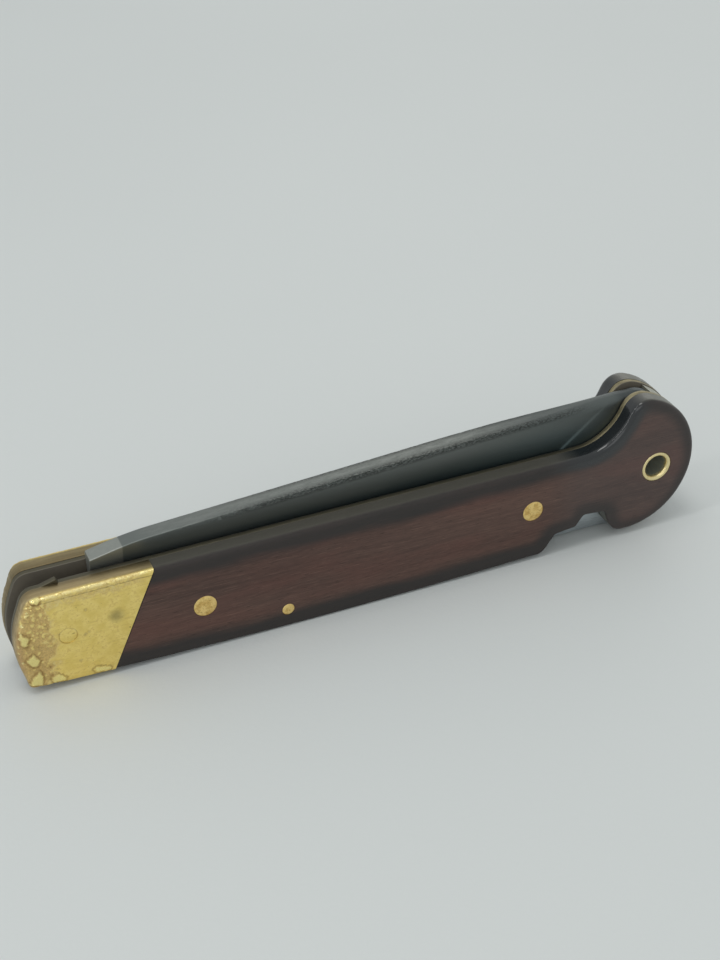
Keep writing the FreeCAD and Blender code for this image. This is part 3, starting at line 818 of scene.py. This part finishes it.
# Smooth patches of the near bolster and of the far one, and small dents (along, up, radius) of both.
SMOOTH_PATCHES = [
    [(-117.8, 12.7), (-116.3, 11.6), (-116.9, 10.0), (-117.8, 10.6)],
    [(-116.1, 8.1), (-115.15, 6.7), (-115.6, 5.7), (-116.4, 5.7), (-117.5, 7.2)],
    [(-115.5, 4.5), (-115.0, 3.3), (-115.3, 1.6), (-117.2, 2.0), (-116.8, 3.4)],
    [(-113.7, 2.7), (-112.5, 3.0), (-111.4, 2.0), (-111.55, 1.4), (-113.6, 1.5)],
    [(-106.75, 2.0), (-106.2, 2.5), (-103.9, 1.8), (-103.9, 1.05), (-106.3, 1.3)],
    [(-115.4, 18.9), (-115.2, 18.1), (-114.3, 17.8), (-113.8, 18.3), (-113.9, 18.9)],
]
FAR_PATCHES = [
    [(-117.9, 14.4), (-116.9, 14.9), (-116.2, 13.6), (-117.2, 13.1)],
    [(-117.0, 6.1), (-115.9, 6.6), (-115.4, 5.2), (-116.6, 4.7)],
    [(-110.6, 2.6), (-109.3, 2.9), (-108.9, 1.7), (-110.4, 1.4)],
]
DENTS = [
    (-111.3, 10.8, 0.42),
    (-106.8, 14.4, 0.38),
    (-107.3, 9.6, 0.42),
    (-106.7, 9.9, 0.36),
    (-108.6, 4.6, 0.36),
    (-113.6, 4.7, 0.35),
    (-113.0, 5.5, 0.22),
    (-112.6, 4.1, 0.2),
]


def patch_depth(x, z, side):
    """Distance inside the smooth patches with their uneven edges, positive within and negative outside."""
    best = np.full(len(x), -9.0)
    points = np.stack([x - PIVOT.x, z], axis=1)
    for patch in SMOOTH_PATCHES if side < 0 else FAR_PATCHES:
        loop = np.array(patch)
        away = np.full(len(x), 9.0)
        for start, end in zip(loop, np.roll(loop, -1, axis=0)):
            run = end - start
            share = np.clip(((points - start) @ run) / (run @ run), 0, 1)
            away = np.minimum(away, np.linalg.norm(points - start - share[:, None] * run, axis=1))
        best = np.maximum(best, np.where(inside(points, loop), away, -away))
    return best + ripple(x, z, 0.7, 2.0) * 0.12


def ripple(x, z, size, seed):
    """Fractal noise of about -1 to 1 over the side view."""
    return np.array([noise.fractal(Vector((a / size, seed, b / size)), 0.6, 2.1, 3) for a, b in zip(x, z)])


def rough_share(x, z, side):
    """1 in the rough cast skin behind the rivet and along the top edge, 0 on the dressed face."""
    alongs, heights = zip(*ROUGH_FRONT)
    front = np.interp(z, heights, alongs)
    wander = ripple(x, z, 1.8, 5.0 + side) * 1.8
    rear = smoothstep(1.5, -1.3, x - PIVOT.x - front + wander)
    strip = smoothstep(*TOP_STRIP, z + wander * 0.4)
    return np.maximum(rear, strip * smoothstep(-96.0, -98.0, x - PIVOT.x) * 0.57)


def clump_share(x, z, side):
    """1 on the raised clumps of grain left in the rough skin, thickest towards the top edge."""
    height = ripple(x, z, 0.62, 21.0 + side) + 0.35 * ripple(x, z, 0.25, 23.0)
    line = np.interp(z, [2.0, 9.0, 14.0, 18.5], [0.75, 0.58, 0.32, 0.26])
    return smoothstep(line - 0.06, line + 0.10, height)


def dent_share(x, z):
    """1 at the bottom of the small dents, 0 away from them."""
    return sum(smoothstep(radius, radius * 0.3, np.hypot(x - from_pivot(dent_x), z - dent_z))
               for dent_x, dent_z, radius in DENTS)


def bolster(name, side):
    """Rear bolster of one side, with its cast skin, smooth patches and dents."""
    outline = resample(OUTLINE, 0.3)

    def rounding(rows):
        x = rows[:, 0] - PIVOT.x
        radius = np.where(rows[:, 1] > 10.0, CRISP_ROUND, HEEL_ROUND)
        radius = np.where((x < -115.6) & (rows[:, 1] > 2.0), REAR_ROUND, radius)
        return sum(np.roll(radius, shift) for shift in range(-4, 5)) / 9

    def face(x, z):
        keep = smoothstep(-0.2, 0.1, patch_depth(x, z, side))
        rough = rough_share(x, z, side) * (1 - keep)
        skin = rough * (SKIN_DEPTH + 0.07 * ripple(x, z, 0.9, 7.0 + side)) * (1 - clump_share(x, z, side))
        dent = DENT_DEPTH * dent_share(x, z)
        swell = 0.03 + 0.025 * ripple(x, z, 6.0, 1.0 + side)
        return side * (OUTSIDE - np.maximum(skin, 0.0) - dent - np.maximum(swell, 0.0) * (1 - keep))

    piece = plate(name, outline, [pin_hole("bolster_rivet")], face, level(side * LINER_FACE),
                  rounding, even(0.03), 0.3, 3, from_pivot(GRID_END))
    point, normal = seam_plane()
    cut_off(piece, point, normal)
    mark_bolster(piece, side)
    return piece


def mark_bolster(piece, side):
    """Point attributes that the brass reads: the rough skin, the smooth patches and their dark outlines."""
    mesh = piece.data
    x, y, z = np.array([tuple(vertex.co / MM) for vertex in mesh.vertices]).T
    depth = patch_depth(x, z, side)
    outer = smoothstep(OUTSIDE - 1.4, OUTSIDE - 0.8, np.abs(y))
    pitted = np.maximum(rough_share(x, z, side), smoothstep(-117.4, -118.4, x - PIVOT.x))
    clumps = clump_share(x, z, side)
    outlines = smoothstep(-0.42, -0.22, depth) * smoothstep(0.08, -0.05, depth)
    layers = {
        "pitted": pitted * (1 - clumps),
        "clump": pitted * clumps * outer,
        "island": smoothstep(-0.02, 0.16, depth) * outer,
        "groove": np.maximum(outlines, dent_share(x, z)) * outer,
    }
    for key, values in layers.items():
        layer = mesh.attributes.new(key, "FLOAT", "POINT")
        layer.data.foreach_set("value", values.astype(np.float32))


# ---------------------------------------------------------------- the liners

# The burr on the near liner's top edge: where its ramp starts and ends, and its height.
BURR_SPAN = (-113.0, -110.2)
BURR_HEIGHT = 0.75


def liner(name, side):
    """Brass liner of one side, its long edges filed by hand and so a little wavy."""
    outline = resample(OUTLINE, 0.4)
    x = outline[:, 0] - PIVOT.x
    z = outline[:, 1]
    wave = 0.04 + 0.035 * ripple(outline[:, 0], z, 5.0, side * 3.0)
    outline = outline + inward(outline) * np.clip(wave, 0.0, 0.12)[:, None]
    if side < 0:
        ramp = np.clip((x - BURR_SPAN[0]) / 2.6, 0, 1)
        outline[:, 1] += ramp * (x < BURR_SPAN[1]) * (z > 18.0) * BURR_HEIGHT
    holes = [pin_hole(pin) for pin in ("pivot_tube", "front_pin", "rear_pin", "lock_pin", "bolster_rivet")]
    return plate(name, outline, holes, level(side * LINER_FACE), level(side * SLOT_SIDE),
                 even(0.12), even(0.12), 2.2, 2)


# ---------------------------------------------------------------- the blade and lock bar

# The cutting edge, the tip, the spine's line from the head to the tip, and the plunge line of the grind.
EDGE = 13.2
EDGE_HALF = 0.1
GRIND_FOOT = 12.2
TIP = -104.4
TIP_CUT = -98.8
SPINE = [(-6.4, 27.6), (-40.0, 25.75), (-97.0, 22.1), (TIP, 20.5)]
SPINE_SLOPE = 0.0595
PLUNGE_TOP = (-6.7, 28.4)
PLUNGE_FOOT = (-26.1, 12.4)

# The tang: its round cam, the lobe that stops the open blade, the flat under the bar's hook, the heel,
# the spur's span, the shallow recess behind the spur, and the notch between lobe and spur.
CAM_RADIUS = 7.6
LOBE_FOOT_ANGLE = 15.0
DETENT_FLAT = 6.75
DETENT_HALF = 2.85
HEEL = (-7.56, 12.77)
SPUR = (0.2, 3.0)
RECESS_DEPTH = 0.6
LOBE_TOP = (5.05, 20.89)
NOTCH_FLOOR = 20.25


def rounded(corners):
    """Closed loop through (x, z, radius) corners, from the pivot axis, with arcs at the corners."""
    rows = []
    count = len(corners)
    for index, (x, z, radius) in enumerate(corners):
        here = np.array((from_pivot(x), z))
        before_x, before_z, _ = corners[index - 1]
        after_x, after_z, _ = corners[(index + 1) % count]
        back = np.array((from_pivot(before_x), before_z)) - here
        ahead = np.array((from_pivot(after_x), after_z)) - here
        back_length, ahead_length = np.linalg.norm(back), np.linalg.norm(ahead)
        back, ahead = back / back_length, ahead / ahead_length
        half = math.acos(float(np.clip(back @ ahead, -1, 1))) / 2
        if radius <= 0 or half > math.pi / 2 - 1e-3:
            rows.append(here)
            continue
        setback = min(radius / math.tan(half), 0.48 * back_length, 0.48 * ahead_length)
        radius = setback * math.tan(half)
        middle = here + (back + ahead) / np.linalg.norm(back + ahead) * radius / math.sin(half)
        first, last = here + back * setback - middle, here + ahead * setback - middle
        start = math.atan2(first[1], first[0])
        sweep = (math.atan2(last[1], last[0]) - start + math.pi) % (2 * math.pi) - math.pi
        for angle in np.linspace(start, start + sweep, 7):
            rows.append(middle + radius * np.array((math.cos(angle), math.sin(angle))))
    return np.array(rows)


def arc(radius, start, end):
    """Points about 5 degrees apart on a circle about the pivot axis, between angles in degrees."""
    count = max(2, int(abs(end - start) / 5.0))
    return [(radius * math.cos(math.radians(a)), PIVOT.z + radius * math.sin(math.radians(a)), 0)
            for a in np.linspace(start, end, count + 1)]


def head_top(x):
    """Height of the head's outline at x from the pivot."""
    upper = OUTLINE[(OUTLINE[:, 1] > 20) & (OUTLINE[:, 0] > from_pivot(-4.5))]
    upper = upper[np.argsort(upper[:, 0])]
    return float(np.interp(from_pivot(x), upper[:, 0], upper[:, 1]))


def spine_height(x):
    """Height of the spine's line at x."""
    alongs, heights = zip(*SPINE[::-1])
    return np.interp(x - PIVOT.x, alongs, heights)


def blade_half(x, z):
    """Half of the blade's thickness: flat at the tang, ground to the edge past the plunge line."""
    along = x - PIVOT.x
    run = (PLUNGE_FOOT[0] - PLUNGE_TOP[0], PLUNGE_FOOT[1] - PLUNGE_TOP[1])
    length = math.hypot(*run)
    past = ((along - PLUNGE_TOP[0]) * run[1] - (z - PLUNGE_TOP[1]) * run[0]) / length
    ground = 0.28 * smoothstep(-0.2, 0.2, past) + 0.72 * smoothstep(0.0, 16.0, past)
    share = np.clip((z - GRIND_FOOT) / (spine_height(x) - GRIND_FOOT), 0, 1)
    wedge = EDGE_HALF + (BLADE_HALF - EDGE_HALF) * share
    return BLADE_HALF * (1 - ground) + np.minimum(wedge, BLADE_HALF) * ground


def blade():
    """Blade with its tang, cam, notch and kick."""
    heel_angle = 180 + math.degrees(math.asin((PIVOT.z - HEEL[1]) / CAM_RADIUS))
    flat_start = 180 + math.degrees(math.asin((PIVOT.z - DETENT_FLAT) / CAM_RADIUS))
    flat_end = 270 - math.degrees(math.asin(DETENT_HALF / CAM_RADIUS))
    corners = [(x, head_top(x) - RECESS_DEPTH, 0) for x in np.linspace(SPUR[0], -3.8, 5)]
    corners += [(-6.4, 27.4, 2.0), (*SPINE[1], 60), (*SPINE[2], 60), (*SPINE[3], 0.25)]
    corners += [(TIP, 14.8, 1.0), (-102.8, EDGE, 1.0), (-28.5, EDGE, 2.0), (-27.3, HEEL[1], 0.6)]
    corners += arc(CAM_RADIUS, heel_angle, flat_start)
    corners += arc(CAM_RADIUS, flat_end, 360 + LOBE_FOOT_ANGLE)
    corners += [(*LOBE_TOP, 0.3), (LOBE_TOP[0], NOTCH_FLOOR, 0), (SPUR[1], NOTCH_FLOOR, 0.1)]
    corners += [(x, head_top(x) - 0.25, 0) for x in np.linspace(SPUR[1], SPUR[0], 6)]
    outline = resample(rounded(corners), 0.35)

    def spine_round(rows):
        near_head = smoothstep(-32.0, -9.0, rows[:, 0] - PIVOT.x) * (rows[:, 1] > 25.0)
        near_head = near_head * (rows[:, 0] < from_pivot(0.0))
        return 0.15 + 1.2 * near_head

    run = (PLUNGE_FOOT[0] - PLUNGE_TOP[0], PLUNGE_FOOT[1] - PLUNGE_TOP[1])
    lines = [(from_pivot(PLUNGE_TOP[0] + run[0] * share + away), PLUNGE_TOP[1] + run[1] * share)
             for share in np.linspace(0, 1, 60) for away in (-0.5, -0.25, -0.08, 0.08, 0.25, 0.5)]
    lines += [(from_pivot(TIP_CUT + away), z) for z in np.arange(13.6, 22.0, 0.3) for away in (-0.1, 0.1)]
    piece = plate("blade_forging", outline, [pin_hole("pivot_tube", TUBE_PLAY)],
                  lambda x, z: -blade_half(x, z), blade_half, spine_round, spine_round, 0.8, 7, extra=lines)

    def flaked(place, rim):
        up = smoothstep(0.9, 0.1, spine_height(place.x) - place.z)
        along = place.x - PIVOT.x
        ahead = smoothstep(-9.0, -16.0, along) * smoothstep(-96.0, -80.0, along)
        corner = smoothstep(0.6, 1.5, -place.y) + 0.25 * smoothstep(0.6, 1.5, place.y)
        flakes = noise.fractal(Vector((place.x * 0.9, place.y * 1.3, place.z * 1.3)), 0.6, 2.1, 4)
        return -max(0.0, 0.03 + 0.12 * flakes) * up * ahead * corner

    displace(piece, flaked)
    return piece


def lock_bar():
    """Rocking lock bar, hooked at the front, bossed at its pin and thinned at the tail."""
    corners = [(-3.15, 0.4, 0.4), (-3.15, 5.0, 0.15), (-4.9, 5.0, 0.2), (-4.9, 4.0, 0.4), (-6.4, 3.5, 1),
               (-30, 4.2, 60), (-66.8, 4.6, 3), (-70.1, 6.3, 1.5), (-74.5, 6.3, 1.5), (-76.9, 3.4, 2),
               (-104, 3.4, 0.6), (-104, 1.35, 0.6), (-72.3, 0.4, 120)]
    outline = resample(rounded(corners), 0.4)
    return plate("bar_forging", outline, [pin_hole("lock_pin", LOCK_PLAY)],
                 level(-BAR_HALF), level(BAR_HALF), even(0.2), even(0.2), 1.5, 3)


# ---------------------------------------------------------------- pins and tube

TUBE_BORE = 2.1
TUBE_SEGMENTS = 72

# A pin's head: how far its rim lies below its crown, the step at the rim, the depth and grain of its dents.
HEAD_DOME = 0.075
HEAD_EASE = 0.065
HEAD_DENT = 0.16
DENT_GRAIN = 1.4


def peened_pin_tree():
    """Geometry Nodes tree of a pin: a rod across the knife with two domed and dented heads."""
    tree = bpy.data.node_groups.new("peened_pin", "GeometryNodeTree")
    tree.interface.new_socket("Pin", in_out="OUTPUT", socket_type="NodeSocketGeometry")
    inputs = {
        "Radius": "Float", "Length": "Float", "Place": "Vector", "Dent Seed": "Float", "Finish": "Material"}
    bench = Bench(tree)
    given = {}
    for name, kind in inputs.items():
        tree.interface.new_socket(name, in_out="INPUT", socket_type="NodeSocket" + kind)
    for name in inputs:
        given[name] = bench.node("NodeGroupInput", out=name)
    rod = bench.node("GeometryNodeMeshCylinder", {"fill_type": "TRIANGLE_FAN"}, {
        "Vertices": 48, "Fill Segments": 8, "Radius": given["Radius"], "Depth": given["Length"]}, "Mesh")
    place = bench.node("GeometryNodeInputPosition")
    x, y, z = (bench.node("ShaderNodeSeparateXYZ", None, {0: place}, letter) for letter in "XYZ")
    out = (x * x + y * y) ** 0.5
    share = out / given["Radius"]
    middle = bench.node("ShaderNodeMath", {"operation": "LESS_THAN"}, {0: share, 1: 0.97})
    dents = bench.node("ShaderNodeTexNoise", {"noise_dimensions": "4D"}, {
        "Vector": place, "W": given["Dent Seed"], "Scale": DENT_GRAIN / MM, "Detail": 3.0, "Roughness": 0.7})
    sunk = (dents - 0.45) * (HEAD_DENT * MM)
    dent = bench.node("ShaderNodeMath", {"operation": "MAXIMUM"}, {0: sunk, 1: 0.0})
    fall = share ** 2.5 * (HEAD_DOME * MM) + (1 - middle) * (HEAD_EASE * MM) + middle * (dent + 0.01 * MM)
    outward = bench.node("ShaderNodeMath", {"operation": "SIGN"}, {0: z})
    shift = bench.node("ShaderNodeCombineXYZ", None, {2: fall * outward * -1.0})
    shaped = bench.node("GeometryNodeSetPosition", None, {"Geometry": rod, "Offset": shift})
    marked = bench.node("GeometryNodeStoreNamedAttribute", {"data_type": "FLOAT", "domain": "POINT"}, {
        "Geometry": shaped, "Name": "rim", "Value": (given["Radius"] - out) / MM})
    across = bench.node("GeometryNodeTransform", None, {
        "Geometry": marked, "Translation": given["Place"], "Rotation": (math.pi / 2, 0, 0)})
    real = bench.node("GeometryNodeRealizeInstances", None, {"Geometry": across})
    painted = bench.node("GeometryNodeSetMaterial", None, {"Geometry": real, "Material": given["Finish"]})
    tree.links.new(painted.socket, tree.nodes.new("NodeGroupOutput").inputs[0])
    return tree


def pin(tree, name, node, seed, finish):
    """Pin through the handle, both heads peened, filed nearly flush and a little dented."""
    middle = centre(node) * MM
    sizes = {"Radius": reach(node).x / 2 * MM, "Length": 2 * OUTSIDE * MM, "Place": (middle.x, 0.0, middle.z),
             "Dent Seed": seed, "Finish": finish}
    blank = bpy.data.objects.new("blank", bpy.data.meshes.new("blank"))
    bpy.context.scene.collection.objects.link(blank)
    maker = blank.modifiers.new("peened_pin", "NODES")
    maker.node_group = tree
    for item in tree.interface.items_tree:
        if item.in_out == "INPUT":
            maker[item.identifier] = sizes[item.name]
    made = bpy.data.meshes.new_from_object(blank.evaluated_get(bpy.context.evaluated_depsgraph_get()))
    blank.modifiers.clear()
    bpy.data.objects.remove(blank)
    made.name = name
    return finished(name, made)


def pivot_tube():
    """Hollow pivot, its mouths rolled outwards."""
    half = [(TUBE_BORE, 0.0), (TUBE_BORE, OUTSIDE - 1.0), (TUBE_BORE + 0.05, OUTSIDE - 0.6),
            (TUBE_BORE + 0.18, OUTSIDE - 0.2), (TUBE_BORE + 0.36, OUTSIDE - 0.03),
            (TUBE_BORE + 0.55, OUTSIDE), (TUBE_BORE + 0.75, OUTSIDE - 0.03),
            (TUBE_RADIUS - 0.03, OUTSIDE - 0.14),
            (TUBE_RADIUS, OUTSIDE - 0.3), (TUBE_RADIUS, 0.0)]
    profile = half + [(radius, -y) for radius, y in half[-2:0:-1]]
    angles = np.linspace(0, 2 * math.pi, TUBE_SEGMENTS, endpoint=False)
    places = [Vector((PIVOT.x + radius * math.cos(angle), y, PIVOT.z + radius * math.sin(angle))) * MM
              for radius, y in profile for angle in angles]
    faces = []
    for row in range(len(profile)):
        ring = row * TUBE_SEGMENTS
        next_ring = (row + 1) % len(profile) * TUBE_SEGMENTS
        for step in range(TUBE_SEGMENTS):
            after = (step + 1) % TUBE_SEGMENTS
            faces.append((ring + step, ring + after, next_ring + after, next_ring + step))
    mesh = bpy.data.meshes.new("pivot_mouth")
    mesh.from_pydata(places, [], faces)
    return finished("pivot_mouth", mesh)


# ---------------------------------------------------------------- surroundings

# Where the bench camera stands, and the directions to its right and upwards.
CAMERA_PLACE = Vector((-89.4, -211.0, 172.0))
CAMERA_RIGHT = Vector((0.9189, -0.3945, -0.0117))
CAMERA_UP = Vector((0.2251, 0.4994, 0.8367))

# Name, place in metres, size in metres, power in watts and colour of each soft light.
SOFT_LIGHTS = [
    ("overhead", (-0.15, -0.05, 0.95), (0.45, 0.3), 1.5, (1.0, 0.995, 0.98)),
    ("front_fill", (-0.4, -0.9, 0.6), (0.8, 0.6), 1.2, (0.97, 0.99, 1.0)),
    ("rear_edge", (0.55, 0.75, 0.35), (0.6, 0.4), 0.5, (1.0, 0.98, 0.95)),
    ("window", (-0.85, -0.12, 0.60), (0.04, 1.0), 1.3, (1.0, 1.0, 1.0)),
]
AIMED_AT = Vector((0, 0, 0.015))


def soft_light(name, place, size, power, colour):
    """Rectangular lamp aimed at the knife."""
    lamp = bpy.data.lights.new(name, "AREA")
    lamp.shape = "RECTANGLE"
    lamp.size, lamp.size_y = size
    lamp.energy = power
    lamp.color = colour
    holder = bpy.data.objects.new(name, lamp)
    holder.location = place
    holder.rotation_euler = (AIMED_AT - Vector(place)).to_track_quat("-Z", "Y").to_euler()
    bpy.context.scene.collection.objects.link(holder)


def bench_camera():
    """Camera that looks down at the knife from its near side."""
    lens = bpy.data.cameras.new("bench_camera")
    lens.lens = 60.0
    lens.sensor_width = 36.0
    lens.clip_start = 0.01
    camera = bpy.data.objects.new("bench_camera", lens)
    back = CAMERA_RIGHT.cross(CAMERA_UP)
    turn = Matrix((CAMERA_RIGHT, CAMERA_UP, back)).transposed().to_4x4()
    camera.matrix_world = Matrix.Translation(CAMERA_PLACE * MM) @ turn
    bpy.context.scene.collection.objects.link(camera)
    bpy.context.scene.camera = camera


def surroundings():
    """Pale floor, soft lights, an even dim sky and the camera."""
    scene = bpy.context.scene
    bpy.ops.mesh.primitive_plane_add(size=6.0)
    floor = bpy.context.object
    floor.name = "studio_floor"
    floor.data.materials.append(studio_floor())
    for light in SOFT_LIGHTS:
        soft_light(*light)
    scene.world = bpy.data.worlds.new("studio")
    scene.world.use_nodes = True
    sky = scene.world.node_tree.nodes["Background"]
    sky.inputs["Color"].default_value = (0.90, 0.945, 0.945, 1)
    sky.inputs["Strength"].default_value = 0.66
    scene.view_settings.view_transform = "Standard"
    bench_camera()


def fit(piece, material, body, slot, *nodes):
    """Give a finished piece its material if it has none and its body, and hide the CAD nodes it replaces; the
    slot is not used.
    """
    if not piece.data.materials:
        piece.data.materials.append(material)
    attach(piece, body)
    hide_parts(*nodes)


def finish_node(node, material):
    """Finish a CAD node that keeps its own shape."""
    NODES[node].data.materials.clear()
    NODES[node].data.materials.append(material)


def main():
    """Build every piece."""
    wood = rosewood()
    bolster_finish = bolster_brass()
    liner_finish = liner_brass()
    pin_finish = pin_brass()
    for side, word in ((-1, "left"), (1, "right")):
        fit(wood_scale(word + "_wood", side), wood, "handle", "rosewood", word + "_scale")
        casting = bolster(word + "_bolster_casting", side)
        fit(casting, bolster_finish, "handle", "brass_bolster", word + "_bolster")
        fit(liner(word + "_liner_plate", side), liner_finish, "handle", "brass_liner", word + "_liner")
    tree = peened_pin_tree()
    for seed, node in enumerate(("front_pin", "rear_pin", "lock_pin")):
        peened = pin(tree, node + "_peened", node, seed * 7.0, pin_finish)
        fit(peened, pin_finish, "handle", "brass_pin", node)
    rivet = pin(tree, "bolster_rivet_filed", "bolster_rivet", 31.0, bolster_finish)
    fit(rivet, bolster_finish, "handle", "brass_bolster", "bolster_rivet")
    fit(pivot_tube(), tube_brass(), "handle", "brass_tube", "pivot_tube")
    fit(blade(), blade_steel(), "blade", "blade_steel", "blade")
    fit(lock_bar(), bar_steel(), "lock_bar", "lock_steel", "lock_bar")
    finish_node("lock_spring", spring_steel())
    bronze = washer_bronze()
    for node in ("left_washer", "right_washer"):
        finish_node(node, bronze)
    for node in ("rear_sleeve", "rivet_sleeve"):
        finish_node(node, liner_finish)
    surroundings()


main()
